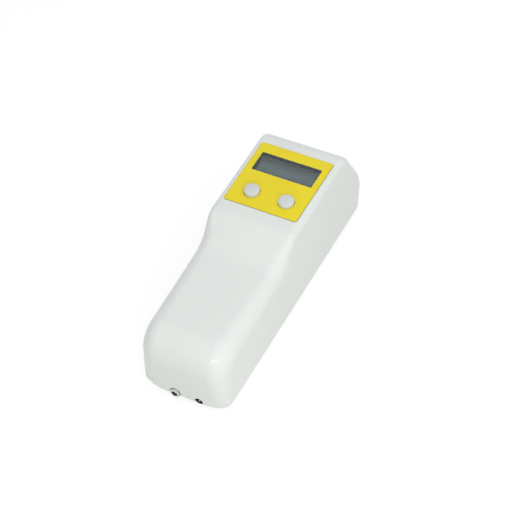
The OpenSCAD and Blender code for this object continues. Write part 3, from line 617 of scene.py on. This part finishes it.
def cell_finish():
    f = Finish.named("cell_wrap")
    low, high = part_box("battery_cells")
    past_end = abs(f.axes()[1] - (low.y + high.y) / 2) - (high.y - low.y) / 2
    end = past_end.step(-SLEEVE_END, SLEEVE_BLEND - SLEEVE_END)
    shrink = f.noise(3 * MM, 3.0, f.stretched(1, 0.3, 1))
    colour = f.mix(shrink.step(0.3, 0.7), srgb(38, 78, 142), srgb(30, 66, 126))
    colour = f.mix(end, colour, srgb(204, 203, 198))
    rough = 0.22 + 0.12 * shrink
    relief = f.bump(shrink, depth=0.02 * MM)
    return f.done(f.shader(Base_Color=colour, Metallic=end, Roughness=rough, Normal=relief))


finishes["coil_copper"] = wire_finish()
finishes["cell_wrap"] = cell_finish()

# %% [markdown]
# ## From a CAD node to a piece
# Each piece of this lesson stands for one CAD node. The record says which body a node belongs to and
# which finish it has, so one helper can make the object, hang it on its body and give it its finish.
# Faces are shaded smooth, and the shading breaks only at edges sharper than a limit.

# %% Pieces
HARD = math.radians(32)
record = frame["record"]
slot_of = {row["node"]: row["material_slot"] for row in record["subparts"]}
body_of = {node: body for body, nodes in record["behaviour"]["bodies"].items() for node in nodes}


def add_piece(name, bm, node):
    """Makes the object of a finished piece, which stands for a CAD node."""
    mesh = bpy.data.meshes.new(name)
    bm.to_mesh(mesh)
    bm.free()
    mesh.materials.append(finishes[slot_of[node]])
    piece = bpy.data.objects.new(name, mesh)
    bpy.context.scene.collection.objects.link(piece)
    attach(piece, body_of[node])
    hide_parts(node)
    return piece


def shade(bm, hard=HARD):
    """Smooth faces that break at hard edges."""
    for face in bm.faces:
        face.smooth = True
        face.material_index = 0
    for edge in bm.edges:
        edge.smooth = edge.is_manifold and edge.calc_face_angle() < hard


print("nodes with a finish:", len(slot_of), "bodies:", sorted(set(body_of.values())))

# %% [markdown]
# ## Edges and curves of the CAD solids
# A CAD node comes as loose triangles. A copy of it is merged, and its flat areas are joined into
# single faces. Real edges are never razor sharp, so a narrow bevel then breaks each hard edge and
# catches the light, as a moulded or turned edge does. Where only some edges are broken, a bevel of
# the mesh itself takes them by name; where all are, a modifier does it.

# %% Edges
JOIN = 0.002 * MM
FLAT = math.radians(0.25)


def merged(node, hard=HARD):
    """A clean mesh of a CAD node: one skin, with its flat areas whole."""
    source = frame["nodes"][node].data.copy()
    loose_normals = source.attributes.get("custom_normal")
    if loose_normals:
        source.attributes.remove(loose_normals)
    bm = bmesh.new()
    bm.from_mesh(source)
    bpy.data.meshes.remove(source)
    bmesh.ops.remove_doubles(bm, verts=bm.verts, dist=JOIN)
    bmesh.ops.dissolve_limit(bm, angle_limit=FLAT, use_dissolve_boundaries=False, verts=bm.verts,
                             edges=bm.edges)
    shade(bm, hard)
    return bm


def chamfer(bm, edges, width):
    """Cuts chosen edges with one flat face."""
    bmesh.ops.bevel(bm, geom=edges, offset=width, offset_type="OFFSET", affect="EDGES", segments=1,
                    profile=0.5, material=-1, clamp_overlap=True)
    shade(bm)


def soften(piece, width):
    """Rounds all hard edges of a piece."""
    modifier = piece.modifiers.new("soft edges", "BEVEL")
    modifier.width = width
    modifier.segments = 2
    modifier.limit_method = "ANGLE"
    modifier.angle_limit = HARD
    modifier.profile = 0.5
    modifier.harden_normals = False


print("points closer than", JOIN / MM, "mm are joined")

# %% [markdown]
# ## The case halves
# The two halves meet in a flat joint low on the sides. Moulders break that edge on both halves,
# which leaves a fine groove. The outline of the joint is convex, so the edge is found as the hull of
# the points at that height. The long curves are made of narrow faces, and weighted normals let the
# large flat faces set the shading, so that the curves between them stay clean.

# %% Case halves
SEAM_HEIGHT = 8.5 * MM
GROOVE = 0.12 * MM
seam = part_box("lower_shell")[0].z + SEAM_HEIGHT


def seam_edges(bm):
    """The outer edge of a case half at the joint."""
    rim = [v for v in bm.verts if abs(v.co.z - seam) < JOIN]
    hull = {rim[i] for i in convex_hull_2d([v.co.xy for v in rim])}
    return [e for e in bm.edges if e.verts[0] in hull and e.verts[1] in hull]


def even_normals(piece):
    modifier = piece.modifiers.new("even normals", "WEIGHTED_NORMAL")
    modifier.keep_sharp = True
    modifier.weight = 60


for name, node in (("case_top", "upper_shell"), ("case_base", "lower_shell")):
    bm = merged(node)
    joint = seam_edges(bm)
    chamfer(bm, joint, GROOVE)
    half = add_piece(name, bm, node)
    even_normals(half)
    print(name, len(half.data.polygons), "faces,", len(joint), "joint edges")

# %% [markdown]
# ## The pane
# The raised middle of the pane has a chamfer round its top, which shows as a pale line on the sides
# that face the viewer. A modifier would also cut the hidden flange, so only the edges at the top of
# the pane are chosen.

# %% Pane
PANE_CHAMFER = 0.25 * MM
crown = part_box("display_window")[1].z
bm = merged("display_window")
brim = [e for e in bm.edges if not e.smooth and all(abs(v.co.z - crown) < JOIN for v in e.verts)]
chamfer(bm, brim, PANE_CHAMFER)
pane = add_piece("window_pane", bm, "display_window")
print("pane:", len(pane.data.polygons), "faces, chamfered edges:", len(brim))

# %% [markdown]
# ## The reader coil
# The winding could be a plain ring with painted stripes, but its turns would then be flat from the
# side. Here a profile with one small arc for each turn is spun round the axis of the coil.

# %% Winding
TURNS = 20
ARC_STEPS = 4
WINDING_DEPTH = 6 * MM
WINDING_GAP = 0.05 * MM
low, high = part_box("reader_coil")
axis = (low + high) / 2
outer = (high.x - low.x) / 2
inner = outer - WINDING_DEPTH + WINDING_GAP
wire = (high.z - low.z) / TURNS

bm = bmesh.new()
profile = [bm.verts.new((inner, 0, low.z))]
for turn in range(TURNS):
    for part in range(ARC_STEPS):
        angle = math.pi * (part / ARC_STEPS - 0.5)
        reach = outer - wire / 2 * (1 - math.cos(angle))
        height = low.z + wire * (turn + 0.5 + 0.5 * math.sin(angle))
        profile.append(bm.verts.new((reach, 0, height)))
profile.append(bm.verts.new((outer - wire / 2, 0, high.z)))
profile.append(bm.verts.new((inner, 0, high.z)))
for first, second in zip(profile, profile[1:] + profile[:1]):
    bm.edges.new((first, second))
bmesh.ops.translate(bm, verts=bm.verts, vec=(axis.x, axis.y, 0))
bmesh.ops.spin(bm, geom=bm.verts[:] + bm.edges[:], cent=axis, axis=(0, 0, 1), angle=2 * math.pi,
               steps=96, use_merge=True)
bmesh.ops.recalc_face_normals(bm, faces=bm.faces)
shade(bm, math.radians(60))
winding = add_piece("coil_winding", bm, "reader_coil")
print("winding:", TURNS, "turns,", len(winding.data.polygons), "faces")

# %% [markdown]
# ## The foam pad
# Foam under a clamp bulges a little at its sides. A cloth simulation could swell it, but the pad is a
# few millimetres thick and hardly moves. So a block is rounded and cut into a grid, and the points
# between its upper and lower faces are pushed out.

# %% Foam pad
PAD_MARGIN = Vector((0.6, 0.6, 0)) * MM
PAD_ROUND = 0.35 * MM
PAD_BULGE = 0.25 * MM
LONG_EDGE = 3 * MM
low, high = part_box("battery_pad")
middle = (low + high) / 2

bm = bmesh.new()
bmesh.ops.create_cube(bm, size=1)
bmesh.ops.scale(bm, verts=bm.verts, vec=high - low - PAD_MARGIN)
bmesh.ops.translate(bm, verts=bm.verts, vec=middle)
bmesh.ops.bevel(bm, geom=bm.edges[:], offset=PAD_ROUND, offset_type="OFFSET", affect="EDGES",
                segments=3, profile=0.5, material=-1)
bmesh.ops.subdivide_edges(bm, edges=[e for e in bm.edges if e.calc_length() > LONG_EDGE], cuts=3,
                          use_grid_fill=True)
for vert in bm.verts:
    share = 1 - abs(vert.co.z - middle.z) / (high.z - low.z) * 2
    outward = Vector((vert.co.x - middle.x, vert.co.y - middle.y, 0)).normalized()
    vert.co += PAD_BULGE * max(share, 0) * outward
shade(bm)
foam = add_piece("foam_pad", bm, "battery_pad")
print("foam pad:", len(foam.data.polygons), "faces")

# %% [markdown]
# ## Leads
# The leads were built with eight flat sides. A subdivision surface makes them round, and the edges
# of their ends are creased, so that they still reach their lugs and plugs.

# %% Leads
for node in ("battery_leads", "charge_lead", "data_lead", "coil_lead", "link_lead"):
    bm = merged(node, math.radians(70))
    crease = bm.edges.layers.float.new("crease_edge")
    for edge in bm.edges:
        if not edge.smooth:
            edge[crease] = 1.0
    lead = add_piece(node + "_round", bm, node)
    rounding = lead.modifiers.new("round", "SUBSURF")
    rounding.levels = rounding.render_levels = 1
    print(node, len(lead.data.polygons), "faces")

# %% [markdown]
# ## All the other pieces
# The remaining solids have the right shape already. Each gets the edge its making would leave:
# a fine one on turned metal and chips, and a wider one on mouldings and cells. The charging pin has a
# domed tip in the CAD model, so it is only shaded smooth.

# %% Soft edges
edge_widths = {
    0.30: ["battery_cells", "battery_clamp", "coil_former"],
    0.20: ["lcd_holder", "board_headers", "reader_headers", "jack_body", "charge_body", "contact_strips",
           "sounder", "jack_nut", "left_button", "right_button"],
    0.15: ["processor_chip", "driver_chips", "reader_chips", "crystal_can", "left_switch", "right_switch",
           "left_plunger", "right_plunger", "jack_bush"],
    0.10: ["panel_overlay", "lcd_glass", "main_board", "reader_board", "board_screws", "case_screws",
           "coil_screws", "reader_screws", "clamp_screws", "cell_links", "jack_lugs", "charge_lugs"],
}
for width, nodes in edge_widths.items():
    for node in nodes:
        soften(add_piece(node + "_soft", merged(node), node), width * MM)
    print("edges of", width, "mm on", len(nodes), "pieces")
pin = add_piece("charge_pin_soft", merged("charge_pin", math.radians(60)), "charge_pin")
print("pin:", len(pin.data.polygons), "faces")

# %% [markdown]
# ## Sizes
# The looks must not change the size of the object.
